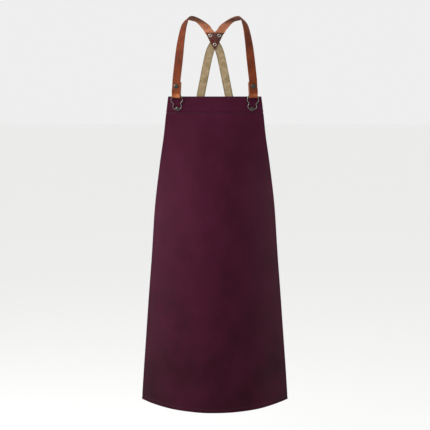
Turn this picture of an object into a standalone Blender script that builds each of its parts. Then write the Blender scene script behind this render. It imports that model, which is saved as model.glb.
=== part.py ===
"""A cross-back work apron hung on its wearer's shoulders, with dungaree clips and leather straps.

The origin lies midway between the two shoulder crests, on the underside of the straps. The apron's
front faces -Y, its left and right are the viewer's, and +Z is up. Every point along the body is first
written from the middle of the bib's top edge, which is the tailor's own datum, and body_point moves it
into the frame of the origin.
"""

import math

import bmesh
import bpy
from mathutils import Matrix, Vector

# ---- driving dimensions, in metres ----
CREST_BEHIND_BIB = 0.1194  # from the bib's front to the shoulder crest, front to back
CREST_ABOVE_BIB = 0.2386  # from the bib's top edge up to the shoulder crest
HEM_DROP = 0.970  # from the bib's top edge down to the hem

CLOTH = 0.0012  # coated cotton of the apron
FACING_DROP = 0.050  # depth of the facing sewn behind the bib's top edge
STRAP_WIDTH = 0.025
LEATHER = 0.0024
PATCH_LEATHER = 0.0020
WEBBING = 0.0018
WEBBING_WIDTH = 0.026
GAP = 0.0003  # between pieces that touch
FACING_GAP = 0.0009  # the facing lies loose behind the cloth

WIRE_RADIUS = 0.0013  # spring wire of the dungaree clips
FOLD_INNER_RADIUS = 0.0038  # the strap's fold round the clip's top bar
FOLD_RADIUS = FOLD_INNER_RADIUS + LEATHER / 2
BAR_TO_BIB = FOLD_INNER_RADIUS + LEATHER + 0.0005
TAIL_LENGTH = 0.046  # doubled-back end of the strap
SNAP_HEIGHT = 0.0285  # press stud above the clip's top bar
STRAP_LEAN = math.radians(3.0)

BUTTON_AT = (0.1117, -0.0370)  # across and up, from the middle of the bib's top edge
BAR_AT = (0.1135, 0.0015)  # where the clip's top bar hangs in front of the bib
NECK_RADIUS = 0.0026  # the button's neck, which the clip hooks round

RING_BAR_RADIUS = 0.0015
RING_DROP = 0.016  # between the two bars of the strap ring
TURN_RADIUS = 0.0033  # webbing turning round a bar of the ring
SLIDER_REST = 0.060  # slider above the ring with the back straps let right out

ROUND_STEPS = 16

# Half width of the apron and depth of its side edges behind the middle of the front, by height.
EDGE_HEIGHTS = (0.0, -0.05, -0.12, -0.20, -0.30, -0.38, -0.55, -0.75, -0.97)
EDGE_ACROSS = (0.1406, 0.1470, 0.1556, 0.1697, 0.1845, 0.1930, 0.2050, 0.2203, 0.2355)
EDGE_BEHIND = (0.024, 0.026, 0.050, 0.105, 0.165, 0.185, 0.185, 0.180, 0.172)
WRAP_POWER = 2.2  # how the cloth turns away from the middle of the front



def clear_scene():
    for obj in list(bpy.data.objects):
        bpy.data.objects.remove(obj, do_unlink=True)


clear_scene()


# ---- geometry helpers ----
def body_point(x, y, z):
    """A point given from the middle of the bib's top edge, in the frame of the origin."""
    return Vector((x, y - CREST_BEHIND_BIB, z - CREST_ABOVE_BIB))


def through(keys, values, at):
    """A smooth curve through the values at falling keys, read at one place."""
    i = max(k for k in range(len(keys) - 1) if at <= keys[k] or k == 0)
    span = keys[i + 1] - keys[i]
    t = (at - keys[i]) / span

    def slope(k):
        a, b = max(k - 1, 0), min(k + 1, len(keys) - 1)
        return (values[b] - values[a]) / (keys[b] - keys[a]) * span

    p, q, m, n = values[i], values[i + 1], slope(i), slope(i + 1)
    return (
        p * (2 * t**3 - 3 * t**2 + 1)
        + m * (t**3 - 2 * t**2 + t)
        + q * (3 * t**2 - 2 * t**3)
        + n * (t**3 - t**2)
    )


def apron_front(x, z):
    """The front surface of the cloth at a place across and a height."""
    across = through(EDGE_HEIGHTS, EDGE_ACROSS, z)
    behind = through(EDGE_HEIGHTS, EDGE_BEHIND, z)
    return body_point(x, behind * (abs(x) / across) ** WRAP_POWER, z)


def apron_outward(x, z):
    """The direction that the cloth's front faces."""
    step = 0.001
    along = apron_front(x + step, z) - apron_front(x - step, z)
    z_low = min(z, -step)
    up = apron_front(x, z_low + step) - apron_front(x, z_low - step)
    return along.cross(up).normalized()


def smooth_path(points, per_span):
    """Points along a Catmull-Rom curve through the given ones."""
    ends = [2 * points[0] - points[1], *points, 2 * points[-1] - points[-2]]
    found = []
    for i in range(1, len(ends) - 2):
        p, q, r, s = ends[i - 1 : i + 3]
        for step in range(per_span):
            t = step / per_span
            found.append(
                0.5 * ((2 * q) + (r - p) * t + (2 * p - 5 * q + 4 * r - s) * t * t
                       + (3 * q - p - 3 * r + s) * t**3)
            )
    return [*found, points[-1].copy()]


def frame_matrix(origin, y_axis, z_axis):
    """A frame at a point, with +Z kept and +Y turned square to it."""
    z_axis = z_axis.normalized()
    x_axis = y_axis.cross(z_axis).normalized()
    y_axis = z_axis.cross(x_axis)
    turn = Matrix((x_axis, y_axis, z_axis)).transposed().to_4x4()
    return Matrix.Translation(origin) @ turn


# ---- making objects ----
def principled(name, colour, roughness, metallic=0.0):
    found = bpy.data.materials.get(name) or bpy.data.materials.new(name)
    found.use_nodes = True
    shader = found.node_tree.nodes["Principled BSDF"]
    shader.inputs["Base Color"].default_value = (*colour, 1.0)
    shader.inputs["Roughness"].default_value = roughness
    shader.inputs["Metallic"].default_value = metallic
    return found


def put(name, bm, material, frame=None, smooth=False):
    """The bmesh as a named object, in a frame of its own or the origin's."""
    bmesh.ops.recalc_face_normals(bm, faces=bm.faces)
    mesh = bpy.data.meshes.new(name)
    bm.to_mesh(mesh)
    bm.free()
    if smooth:
        mesh.shade_smooth()
        mesh.set_sharp_from_angle(angle=math.radians(35))
    obj = bpy.data.objects.new(name, mesh)
    obj.matrix_world = frame or Matrix()
    obj.data.materials.append(material)
    bpy.context.scene.collection.objects.link(obj)
    return obj


def ribbon(name, stations, width, thickness, material, frame=None):
    """A strap of rectangular section along (centre, face direction) stations."""
    bm = bmesh.new()
    centres = [centre for centre, _ in stations]
    rings = []
    for i, (centre, face) in enumerate(stations):
        along = centres[min(i + 1, len(centres) - 1)] - centres[max(i - 1, 0)]
        along.normalize()
        face = (face - face.dot(along) * along).normalized()
        side = face.cross(along)
        corners = ((-1, -1), (1, -1), (1, 1), (-1, 1))
        rings.append([
            bm.verts.new(centre + side * (a * width / 2) + face * (b * thickness / 2))
            for a, b in corners
        ])
    for first, second in zip(rings, rings[1:]):
        for k in range(4):
            bm.faces.new((first[k], first[(k + 1) % 4], second[(k + 1) % 4], second[k]))
    bm.faces.new(rings[0])
    bm.faces.new(reversed(rings[-1]))
    return put(name, bm, material, frame)


def turned(name, profile, material, frame, steps=ROUND_STEPS):
    """A piece turned about its frame's Y axis from (radius, along Y) points, a closed outline."""
    bm = bmesh.new()
    corners = [bm.verts.new((radius, along, 0)) for radius, along in profile]
    edges = [
        bm.edges.new((a, b))
        for a, b in zip(corners, corners[1:] + corners[:1])
        if a.co.x > 0 or b.co.x > 0
    ]
    bmesh.ops.spin(bm, geom=corners + edges, cent=(0, 0, 0), axis=(0, 1, 0),
                   angle=2 * math.pi, steps=steps, use_merge=True)
    bmesh.ops.remove_doubles(bm, verts=bm.verts, dist=1e-6)
    return put(name, bm, material, frame, smooth=True)


def wire(name, points, radius, material, frame, resolution=2):
    """A closed loop of round wire through points in its frame's XZ plane."""
    curve = bpy.data.curves.new(name, "CURVE")
    curve.dimensions = "3D"
    curve.bevel_depth = radius
    curve.bevel_resolution = resolution
    spline = curve.splines.new("POLY")
    spline.points.add(len(points) - 1)
    for spot, (x, z) in zip(spline.points, points):
        spot.co = (x, 0, z, 1)
    spline.use_cyclic_u = True
    obj = bpy.data.objects.new(name, curve)
    obj.matrix_world = frame
    curve.materials.append(material)
    bpy.context.scene.collection.objects.link(obj)
    return obj


def block(name, low, high, frame):
    """A box between two corners, for cutting or joining."""
    bm = bmesh.new()
    bmesh.ops.create_cube(bm, size=1)
    size = Vector(high) - Vector(low)
    middle = (Vector(high) + Vector(low)) / 2
    bmesh.ops.scale(bm, vec=size, verts=bm.verts)
    bmesh.ops.translate(bm, vec=middle, verts=bm.verts)
    return helper(put(name, bm, STEEL, frame))


def rod(name, radius, low, high, frame, axis="Y", steps=ROUND_STEPS):
    """A cylinder along the frame's Y or X axis, for cutting or joining."""
    bm = bmesh.new()
    bmesh.ops.create_cone(bm, cap_ends=True, segments=steps, radius1=radius,
                          radius2=radius, depth=high - low)
    bmesh.ops.translate(bm, vec=(0, 0, (low + high) / 2), verts=bm.verts)
    turn = {"Y": (-math.pi / 2, 3, "X"), "X": (math.pi / 2, 3, "Y")}[axis]
    bmesh.ops.rotate(bm, matrix=Matrix.Rotation(*turn), verts=bm.verts)
    return helper(put(name, bm, STEEL, frame))


def trim(obj, name, frame):
    """Cuts away all of the object that lies on the +Z side of a frame."""
    reach = 0.06
    boolean(obj, block(f"{obj.name}_{name}", (-reach, -0.02, 0), (reach, 0.02, reach), frame))


def helper(obj):
    obj.hide_render = True
    obj.display_type = "WIRE"
    return obj


def boolean(obj, other, operation="DIFFERENCE"):
    modifier = obj.modifiers.new(other.name, "BOOLEAN")
    modifier.operation = operation
    modifier.object = other
    modifier.solver = "EXACT"


# ---- materials ----
CANVAS = principled("burgundy_canvas", (0.058, 0.011, 0.023), 0.75)
TAN = principled("tan_leather", (0.255, 0.069, 0.030), 0.55)
BROWN = principled("brown_leather", (0.069, 0.010, 0.009), 0.6)
KHAKI = principled("khaki_webbing", (0.392, 0.288, 0.156), 0.85)
STEEL = principled("nickel_wire", (0.42, 0.42, 0.40), 0.3, 1.0)
GUNMETAL = principled("gunmetal", (0.10, 0.11, 0.10), 0.35, 1.0)


# ---- the cloth ----
def cloth_sheet(name, heights, columns, thickness, depth):
    """A stretch of cloth with rows at these heights, its front `depth` behind the apron's front."""
    rows = len(heights) - 1
    bm = bmesh.new()
    bmesh.ops.create_grid(bm, x_segments=columns, y_segments=rows, size=1)
    for vert in bm.verts:
        z = heights[round((1 - vert.co.y) / 2 * rows)]
        x = vert.co.x * through(EDGE_HEIGHTS, EDGE_ACROSS, z)
        vert.co = apron_front(x, z) - apron_outward(x, z) * depth
    for face in bm.faces:
        face.smooth = True
    bmesh.ops.recalc_face_normals(bm, faces=bm.faces)
    middle = min(bm.faces, key=lambda face: abs(face.calc_center_median().x))
    if middle.normal.y > 0:
        bmesh.ops.reverse_faces(bm, faces=bm.faces)
    mesh = bpy.data.meshes.new(name)
    bm.to_mesh(mesh)
    bm.free()
    obj = bpy.data.objects.new(name, mesh)
    mesh.materials.append(CANVAS)
    bpy.context.scene.collection.objects.link(obj)
    solid = obj.modifiers.new("thickness", "SOLIDIFY")
    solid.thickness = thickness
    solid.offset = -1
    solid.use_even_offset = True
    return obj


def build_cloth():
    top_rows = [-FACING_DROP * row / 3 for row in range(4)]
    below = [-FACING_DROP - (HEM_DROP - FACING_DROP) * row / 23 for row in range(1, 24)]
    panel = cloth_sheet("apron_panel", top_rows + below, 26, CLOTH, 0.0)
    facing = cloth_sheet("bib_facing", top_rows, 26, CLOTH, CLOTH + FACING_GAP)
    for side in (-1, 1):
        hole = rod(f"button_hole_{side}", NECK_RADIUS + 0.0004, -0.004, 0.008, button_frame(side))
        boolean(panel, hole)
        boolean(facing, hole)


# ---- frames of the hardware, one set for each side ----
def side_name(side):
    return "left" if side < 0 else "right"


def bar_frame(side):
    """At the middle of the clip's top bar: +Y into the body, +Z up the leaning strap."""
    x, z = side * BAR_AT[0], BAR_AT[1]
    outward = apron_outward(x, 0.0)
    outward.z = 0
    outward.normalize()
    surface = apron_front(x, 0.0)
    origin = surface + outward * BAR_TO_BIB + Vector((0, 0, z))
    up = Matrix.Rotation(side * STRAP_LEAN, 3, outward) @ Vector((0, 0, 1))
    return frame_matrix(origin, -outward, up)


def button_frame(side):
    """At the front of the cloth under the button: +Y into the body."""
    x, z = side * BUTTON_AT[0], BUTTON_AT[1]
    return frame_matrix(apron_front(x, z), -apron_outward(x, z), Vector((0, 0, 1)))


def clip_frame(side):
    """At the middle of the clip's top bar, with -Z down to the button's neck."""
    top = bar_frame(side).to_translation()
    button = button_frame(side)
    hooked = button @ Vector((0, -(WIRE_RADIUS + 0.0006), 0))
    inward = button.to_3x3() @ Vector((0, 1, 0))
    return frame_matrix(top, inward, top - hooked)


def clip_drop(side):
    """From the clip's top bar down to its bottom wire, which hooks under the button's neck."""
    button = button_frame(side) @ Vector((0, -(WIRE_RADIUS + 0.0006), 0))
    to_neck = (bar_frame(side).to_translation() - button).length
    return to_neck + NECK_RADIUS + 0.0004 + WIRE_RADIUS


def patch_frame():
    """At the middle of the cross patch: +Y out of the wearer's back, +Z up the patch."""
    outward = Vector((0, 0.93, 0.367)).normalized()
    up = Vector((0, -0.367, 0.93)).normalized()
    return frame_matrix(body_point(0, 0.200, 0.178), outward, up)


def ring_frame(side):
    """On the webbing's middle line beside the ring's upper bar: +Z up the back strap."""
    up = Vector((-side * 0.2, -0.065, 1)).normalized()
    return frame_matrix(body_point(side * 0.0706, 0.2400, -0.125), Vector((0, 1, 0)), up)


# ---- hooks, buttons and press studs ----
def build_clip(side):
    """A figure-of-eight of spring wire: wide for the strap, waisted, and a loop for the button."""
    drop = clip_drop(side)
    half = [
        (0.0, 0.0), (0.0125, 0.0), (0.0148, -0.0012), (0.0158, -0.0045), (0.0170, -0.0085),
        (0.0177, -0.0125), (0.0166, -0.0165), (0.0136, -0.0200), (0.0113, -0.0230), (0.0117, -0.0265),
        (0.0133, -0.0300), (0.0136, -0.0333), (0.0117, -drop + 0.0062), (0.0088, -drop + 0.0045),
        (0.0066, -drop + 0.0030), (0.0045, -drop + 0.0008), (0.0020, -drop), (0.0, -drop),
    ]
    right = smooth_path([Vector((x, 0, z)) for x, z in half], 2)
    outline = [(p.x, p.z) for p in right]
    outline += [(-x, z) for x, z in reversed(outline[1:-1])]
    wire(f"{side_name(side)}_clip", outline, WIRE_RADIUS, STEEL, clip_frame(side))


def build_button(side):
    frame, name = button_frame(side), side_name(side)
    under_head = -(2 * WIRE_RADIUS + 0.0011)
    back = 2 * CLOTH + FACING_GAP + GAP
    head = [
        (0, under_head - 0.0027), (0.0028, under_head - 0.0027), (0.0052, under_head - 0.0021),
        (0.0062, under_head - 0.0010), (0.0058, under_head), (NECK_RADIUS, under_head),
        (NECK_RADIUS, back), (0.0014, back), (0.0014, under_head + 0.001), (0, under_head + 0.001),
    ]
    turned(f"{name}_bib_button", head, GUNMETAL, frame)
    face = back + GAP
    tack = [
        (0, under_head + 0.0016), (0.0010, under_head + 0.0016), (0.0010, face),
        (0.0052, face), (0.0055, face + 0.0005), (0.0050, face + 0.0010), (0, face + 0.0010),
    ]
    turned(f"{name}_button_tack", tack, STEEL, frame)


def snap_frame(side):
    return bar_frame(side) @ Matrix.Translation((0, 0, SNAP_HEIGHT))


def build_snap(side):
    """Four turned pieces: cap and socket on the strap, stud and post on its doubled end."""
    frame, name = snap_frame(side), side_name(side)
    outer = FOLD_RADIUS + LEATHER / 2 + GAP  # outside faces of the two layers
    inner = FOLD_INNER_RADIUS - GAP  # inside faces
    cap = [
        (0, -outer - 0.0028), (0.0030, -outer - 0.0026), (0.0058, -outer - 0.0017),
        (0.0075, -outer - 0.0004), (0.0075, -outer), (0.0015, -outer),
        (0.0015, -inner + 0.0005), (0, -inner + 0.0005),
    ]
    turned(f"{name}_snap_cap", cap, GUNMETAL, frame)
    socket = [
        (0.0020, -inner), (0.0060, -inner), (0.0060, -inner + 0.0038),
        (0.0038, -inner + 0.0038), (0.0038, -inner + 0.0010), (0.0020, -inner + 0.0010),
    ]
    turned(f"{name}_snap_socket", socket, STEEL, frame)
    stud = [
        (0, inner - 0.0048), (0.0018, inner - 0.0048), (0.0026, inner - 0.0040),
        (0.0022, inner - 0.0012), (0.0054, inner - 0.0010), (0.0056, inner),
        (0.0014, inner), (0.0014, inner - 0.0026), (0, inner - 0.0026),
    ]
    turned(f"{name}_snap_stud", stud, STEEL, frame)
    post = [
        (0, inner - 0.0021), (0.0010, inner - 0.0021), (0.0010, outer), (0.0052, outer),
        (0.0055, outer + 0.0004), (0.0050, outer + 0.0009), (0, outer + 0.0009),
    ]
    turned(f"{name}_snap_post", post, STEEL, frame)


# ---- leather straps ----
def fold_stations(side):
    """The strap's fold round the clip bar, then the straight front layer up past the press stud."""
    frame = bar_frame(side)
    turn = frame.to_3x3()
    found = []
    for step in range(9):
        angle = math.pi * (1 - step / 8)
        face = Vector((0, -math.cos(angle), -math.sin(angle)))
        found.append((frame @ (face * FOLD_RADIUS), turn @ face))
    front = turn @ Vector((0, -1, 0))
    for height in (0.016, 0.032, TAIL_LENGTH + 0.002):
        found.append((frame @ Vector((0, -FOLD_RADIUS, height)), front))
    return found


def strap_route(side):
    """Over the chest, the shoulder crest and down the back, as (place, facing) pairs."""
    places = (
        ((0.1078, 0.0120, 0.1089), (0.21, -0.93, 0.31)),
        ((0.1038, 0.0300, 0.1493), (0.39, -0.80, 0.46)),
        ((0.0997, 0.0490, 0.1806), (0.54, -0.66, 0.52)),
        ((0.0957, 0.0670, 0.2041), (0.62, -0.52, 0.58)),
        ((0.0914, 0.0840, 0.2210), (0.65, -0.38, 0.66)),
        ((0.0872, 0.1020, 0.2329), (0.70, -0.10, 0.71)),
        ((0.0784, 0.1200, 0.2396), (0.42, 0.12, 0.90)),
        ((0.0644, 0.1400, 0.2383), (0.15, 0.28, 0.95)),
        ((0.0462, 0.1620, 0.2314), (-0.13, 0.40, 0.91)),
        ((0.0257, 0.1857, 0.2136), (-0.03, 0.83, 0.55)),
    )
    return [
        (body_point(side * x, y, z), Vector((side * a, b, c)))
        for (x, y, z), (a, b, c) in places
    ]


CREST_INDEX = 6  # the route's place on top of the shoulder
CREST_FLAT = 0.018  # straight, untwisted run there


def strap_stations(side):
    """All of a strap from its fold to the cross patch, with a flat run on the shoulder crest."""
    fold, route, patch = fold_stations(side), strap_route(side), patch_frame()
    ends = ((0.0187, 0.0265), (0.0020, 0.0080), (-0.012, -0.0074))
    into_patch = [patch @ Vector((side * x, 0, z)) for x, z in ends]
    outward = patch.to_3x3() @ Vector((0, 1, 0))
    places = [fold[-1][0], *[place for place, _ in route], *into_patch]
    faces = [fold[-1][1], *[face for _, face in route], outward, outward, outward]
    centres = smooth_path(places, 3)
    facing = smooth_path(faces, 3)
    stations = list(zip(centres, facing))
    crest = 3 * (CREST_INDEX + 1)
    along = (centres[crest + 1] - centres[crest - 1]).normalized()
    face = facing[crest] - facing[crest].dot(along) * along
    flat = [(centres[crest] + along * (k * CREST_FLAT / 2), face) for k in (-1, 1)]
    return [*fold[:-1], *stations[: crest - 1], *flat, *stations[crest + 2 :]]


def build_strap(side):
    name = side_name(side)
    strap = ribbon(f"{name}_front_strap", strap_stations(side), STRAP_WIDTH, LEATHER, TAN)
    snap = snap_frame(side)
    hole = rod(f"{name}_cap_hole", 0.0019, -0.010, 0.0, snap)
    boolean(strap, hole)
    for spot, rivet in enumerate(RIVETS[:2]):
        if rivet[0] * side > 0:
            boolean(strap, rivet_hole(f"{name}_strap_rivet_hole", rivet))
    trim(strap, "past_middle", patch_frame() @ Matrix.Translation((side * GAP, 0, 0))
         @ Matrix.Rotation(-side * math.pi / 2, 4, "Y"))
    tail = [
        (Vector((0, FOLD_RADIUS, height)), Vector((0, 1, 0)))
        for height in (GAP, 0.012, 0.024, 0.036, TAIL_LENGTH)
    ]
    hinge = tail_hinge(side)
    to_hinge = Matrix.Translation((0, -(FOLD_RADIUS + LEATHER / 2), 0))
    tail = [(to_hinge @ centre, face) for centre, face in tail]
    end = ribbon(f"{name}_strap_tail", tail, STRAP_WIDTH, LEATHER, TAN, hinge)
    boolean(end, rod(f"{name}_post_hole", 0.0016, 0.0, 0.010, snap))


def tail_hinge(side):
    """On the outer face of the doubled end, where it leaves the fold and bends back."""
    return bar_frame(side) @ Matrix.Translation((0, FOLD_RADIUS + LEATHER / 2, 0))


# ---- cross patch ----
PATCH_CORNER = (0.0282, 0.0226)  # half width and height of the top corners above the patch's middle
PATCH_TIP = -0.0333
RIVETS = ((-0.0139, 0.0144), (0.0139, 0.0144), (0.0, -0.0156))
SANDWICH = LEATHER / 2 + GAP


def patch_outline():
    """A triangle, point down, with slightly bowed sides."""
    corners = [Vector((-PATCH_CORNER[0], PATCH_CORNER[1])), Vector((0, PATCH_TIP)),
               Vector((PATCH_CORNER[0], PATCH_CORNER[1]))]
    outline = []
    for a, b in zip(corners, corners[1:] + corners[:1]):
        out = Vector((b.y - a.y, a.x - b.x)).normalized()
        outward = out if out.dot(a + b) > 0 else -out
        bow = 0.0016 if abs(b.y - a.y) > 0.001 else 0.0006
        for step in range(6):
            t = step / 6
            outline.append(a.lerp(b, t) + outward * bow * 4 * t * (1 - t))
    return outline


def build_patch(name, near, far):
    """One leather triangle between two distances from the straps' middle."""
    bm = bmesh.new()
    base = bm.faces.new([bm.verts.new((p.x, near, p.y)) for p in patch_outline()])
    moved = bmesh.ops.extrude_face_region(bm, geom=[base])["geom"]
    lifted = [item for item in moved if isinstance(item, bmesh.types.BMVert)]
    bmesh.ops.translate(bm, vec=(0, far - near, 0), verts=lifted)
    patch = put(name, bm, BROWN, patch_frame())
    for index, rivet in enumerate(RIVETS):
        boolean(patch, rivet_hole(f"{name}_hole_{index}", rivet))


def rivet_frame(rivet):
    return patch_frame() @ Matrix.Translation((rivet[0], 0, rivet[1]))


def rivet_hole(name, rivet):
    return rod(name, 0.0027, -0.008, 0.008, rivet_frame(rivet))


def build_rivets():
    """Tubular rivets: a flared eye against the wearer, and a domed cap outside."""
    face = SANDWICH + PATCH_LEATHER + GAP
    for name, rivet in zip(("left", "right", "lower"), RIVETS):
        frame = rivet_frame(rivet)
        eye = [
            (0.0017, -face - 0.0008), (0.0028, -face - 0.0014), (0.0046, -face - 0.0012),
            (0.0055, -face - 0.0004), (0.0055, -face), (0.0023, -face), (0.0023, face - 0.0004),
            (0.0017, face - 0.0004),
        ]
        turned(f"{name}_rivet_eye", eye, STEEL, frame)
        cap = [
            (0, face - 0.0024), (0.0012, face - 0.0024), (0.0012, face), (0.0054, face),
            (0.0054, face + 0.0006), (0.0034, face + 0.0016), (0, face + 0.0019),
        ]
        turned(f"{name}_rivet_cap", cap, STEEL, frame)


# ---- back straps of webbing ----
def arc_stations(frame, start, stop, steps, middle_z=0.0, radius=TURN_RADIUS):
    """Webbing turning about a bar that lies `radius` behind the strap's line."""
    turn = frame.to_3x3()
    found = []
    for step in range(steps + 1):
        angle = math.radians(start + (stop - start) * step / steps)
        face = Vector((0, math.cos(angle), math.sin(angle)))
        spot = Vector((0, TURN_RADIUS, middle_z)) + face * radius
        found.append((frame @ spot, turn @ face))
    return found


WEBBING_TOP = -0.0145  # where the webbing's cut end meets the middle line, just below the leather
LEATHER_SLANT = math.radians(48)  # the leather's lower edge there, from level


def build_back_webbing(side):
    """From the cross patch straight down the back, and round the ring's upper bar."""
    name, patch, ring = side_name(side), patch_frame(), ring_frame(side)
    outward = patch.to_3x3() @ Vector((0, 1, 0))
    back = ring.to_3x3() @ Vector((0, 1, 0))
    under_patch = ((-0.0075, 0.0035), (0.0004, -0.0096), (0.0118, -0.0300))
    top = [patch @ Vector((side * x, 0, z)) for x, z in under_patch]
    bend = [body_point(side * 0.0187, 0.2185, 0.1300), body_point(side * 0.0256, 0.2240, 0.1000)]
    straight = [ring @ Vector((0, 0, z)) for z in (0.158, 0.119, 0.080, 0.040, 0.0)]
    centres = smooth_path([*top, *bend], 3) + straight
    facing = smooth_path([outward] * 3 + [outward.lerp(back, 0.6), back], 3) + [back] * 5
    stations = list(zip(centres, facing))
    turn = arc_stations(ring, 180, 360, 8)[1:]
    stations += [(centre, -face) for centre, face in turn]
    webbing = ribbon(f"{name}_webbing", stations, WEBBING_WIDTH, WEBBING, KHAKI)
    trim(webbing, "past_middle", patch @ Matrix.Translation((side * GAP, 0, 0))
         @ Matrix.Rotation(-side * math.pi / 2, 4, "Y"))
    trim(webbing, "below_leather", patch @ Matrix.Translation((0, 0, WEBBING_TOP))
         @ Matrix.Rotation(-side * LEATHER_SLANT, 4, "Y"))
    boolean(webbing, rivet_hole(f"{name}_webbing_rivet_hole", RIVETS[2]))


def build_webbing_return(side):
    """The webbing's doubled end, from the ring up to its loop on the slider's middle bar."""
    name, ring = side_name(side), ring_frame(side)
    back = Vector((0, 1, 0))
    outer = 2 * TURN_RADIUS
    bar_y, wrap = SLIDER_BAR[0], SLIDER_BAR[1] + GAP + WEBBING / 2
    top = SLIDER_REST
    stations = [(Vector((0, outer, z)), back) for z in (GAP, 0.020, 0.040, top - 0.006)]
    for step in range(9):
        angle = math.pi * step / 8
        face = Vector((0, math.cos(angle), math.sin(angle)))
        stations.append((Vector((0, bar_y, top)) + face * wrap, face))
    stations.append((Vector((0, bar_y - wrap, top - 0.012)), -back))
    ribbon(f"{name}_webbing_return", stations, WEBBING_WIDTH, WEBBING, KHAKI, ring)


SLIDER_BAR = (0.0044, 0.0010)  # how far the middle bar lies behind the strap's line, and its radius
SLIDER_HALF_WIDTH = 0.0165
SLIDER_CHANNEL = 0.0137


def build_slider(side):
    """A tri-glide: end bars before the webbing, and a middle bar behind it that holds the loop."""
    name = f"{side_name(side)}_slider"
    frame = ring_frame(side) @ Matrix.Translation((0, 0, SLIDER_REST))
    wide, inner = SLIDER_HALF_WIDTH, SLIDER_CHANNEL
    low_y, floor, top_y = -0.0032, -0.0014, SLIDER_BAR[0] + 0.0018
    bm = bmesh.new()
    bmesh.ops.create_cube(bm, size=1)
    bmesh.ops.scale(bm, vec=(2 * wide, top_y - low_y, 0.020), verts=bm.verts)
    bmesh.ops.translate(bm, vec=(0, (top_y + low_y) / 2, 0), verts=bm.verts)
    slider = put(name, bm, STEEL, frame)
    boolean(slider, block(f"{name}_channel", (-inner, floor, -0.02), (inner, 0.02, 0.02), frame))
    boolean(slider, block(f"{name}_window", (-inner, -0.02, -0.0074), (inner, 0.02, 0.0074), frame))
    middle = frame @ Matrix.Translation((0, SLIDER_BAR[0], 0))
    bar = rod(f"{name}_bar", SLIDER_BAR[1], -0.0152, 0.0152, middle, axis="X", steps=12)
    boolean(slider, bar, "UNION")


def build_ring(side):
    """A rounded rectangle of wire that joins the back webbing to the side strap."""
    frame = ring_frame(side) @ Matrix.Translation((0, TURN_RADIUS, 0))
    half, corner = 0.0155, 0.004
    outline = []
    for cx, cz, start in ((half - corner, -corner, 90), (half - corner, corner - RING_DROP, 0),
                          (corner - half, corner - RING_DROP, -90), (corner - half, -corner, -180)):
        for step in range(5):
            angle = math.radians(start - 90 * step / 4)
            outline.append((cx + corner * math.cos(angle), cz + corner * math.sin(angle)))
    wire(f"{side_name(side)}_strap_ring", outline, RING_BAR_RADIUS, STEEL, frame)


def build_side_strap(side):
    """From the ring's lower bar round the waist to the inside of the apron's side edge."""
    ring = ring_frame(side)
    back = ring.to_3x3() @ Vector((0, 1, 0))
    sewn = [(ring @ Vector((0, 2 * TURN_RADIUS, z - RING_DROP)), -back) for z in (-0.028, -0.014)]
    turn = [(c, -f) for c, f in arc_stations(ring, 0, 180, 8, -RING_DROP)]
    waist = (
        ((0.0830, 0.2440, -0.185), (0.06, 1.0, 0.0)),
        ((0.1010, 0.2430, -0.225), (0.16, 0.98, 0.0)),
        ((0.1270, 0.2380, -0.264), (0.32, 0.94, 0.0)),
        ((0.1550, 0.2255, -0.298), (0.55, 0.83, 0.0)),
        ((0.1755, 0.2060, -0.322), (0.78, 0.60, 0.0)),
        ((0.1838, 0.1880, -0.334), (0.97, 0.15, 0.0)),
    )
    places = [turn[-1][0]] + [body_point(side * x, y, z) for (x, y, z), _ in waist]
    faces = [back] + [Vector((side * a, b, c)) for _, (a, b, c) in waist]
    for x, z in ((0.1800, -0.340), (0.1720, -0.346)):
        outward = apron_outward(side * x, z)
        places.append(apron_front(side * x, z) - outward * (CLOTH + GAP + WEBBING / 2 + 0.0004))
        faces.append(outward)
    route = list(zip(smooth_path(places, 4), smooth_path(faces, 4)))
    stations = [(c, -f) for c, f in sewn + turn[:-1]] + route
    ribbon(f"{side_name(side)}_side_strap", stations, WEBBING_WIDTH, WEBBING, KHAKI)


def main():
    build_cloth()
    for side in (-1, 1):
        build_clip(side)
        build_button(side)
        build_strap(side)
        build_snap(side)
        build_back_webbing(side)
        build_webbing_return(side)
        build_slider(side)
        build_ring(side)
        build_side_strap(side)
    build_patch("patch_inner", -SANDWICH, -SANDWICH - PATCH_LEATHER)
    build_patch("patch_outer", SANDWICH, SANDWICH + PATCH_LEATHER)
    build_rivets()


main()
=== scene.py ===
"""The looks of a cross-back butcher apron: coated cotton, leather straps, webbing and plated hardware."""

import logging
import math
from collections.abc import Callable, Sequence
from dataclasses import dataclass
from enum import Enum

import bmesh
import bpy
from mathutils import Matrix, Vector


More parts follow.
